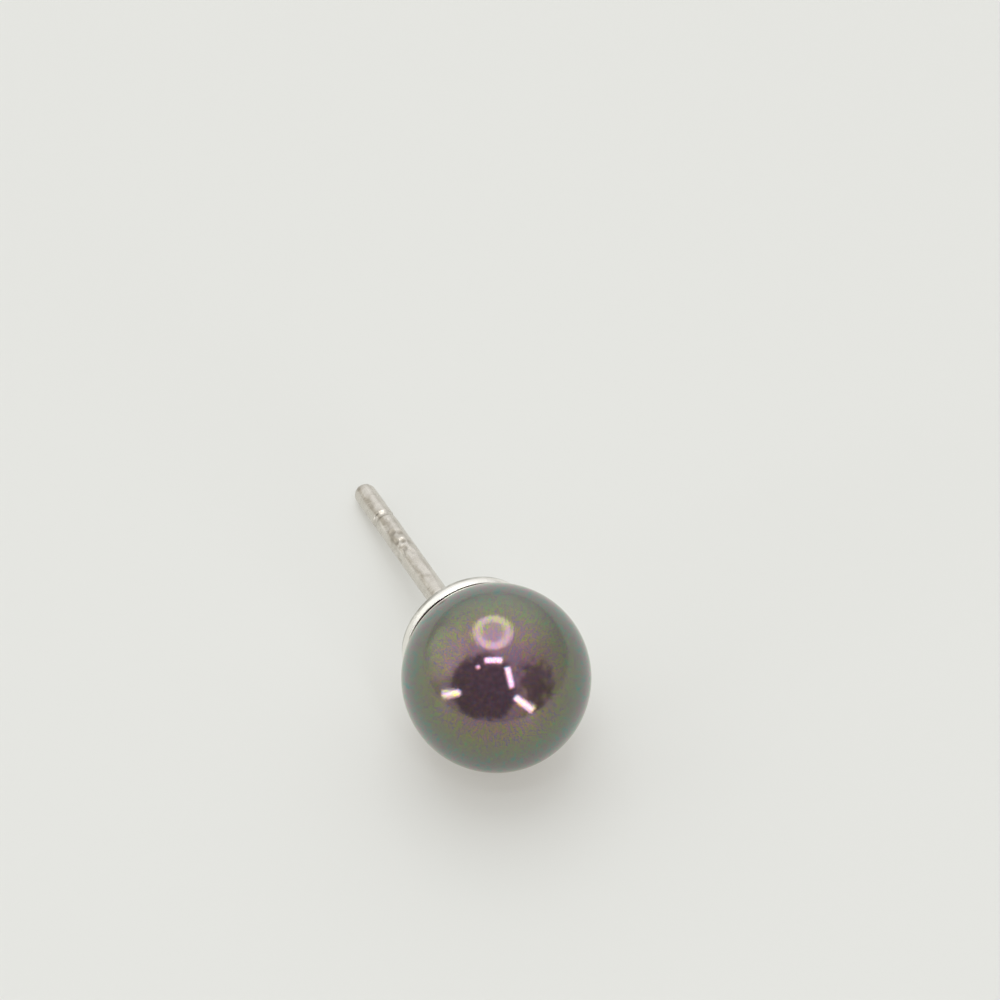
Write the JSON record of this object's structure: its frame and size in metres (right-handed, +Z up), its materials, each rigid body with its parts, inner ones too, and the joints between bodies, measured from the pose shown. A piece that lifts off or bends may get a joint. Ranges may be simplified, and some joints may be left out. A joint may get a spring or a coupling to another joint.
{
  "type": "pearl stud earring",
  "caption": "Round dark iridescent pearl in a shallow silver cup, with a straight grooved post behind it for a pierced ear lobe.",
  "frame": {"origin": "on the surface that the stud lies on, below the middle of its bounding box", "axes": "+Z up, +Y from the pearl towards the tip of the post, which lies on the surface; the stud is symmetric to the left and right, along X"},
  "size_m": [0.008, 0.0184, 0.008],
  "materials": {
    "pearl_coat": "gloss pearl lustre that turns from purple in the middle to olive green and grey at the edge",
    "silver": "polished silver, bright on the cup, with a slightly warm, scuffed post"
  },
  "bodies": {
    "root": {"pearl": "pearl_coat", "cup_and_post": "silver"}
  },
  "joints": []
}
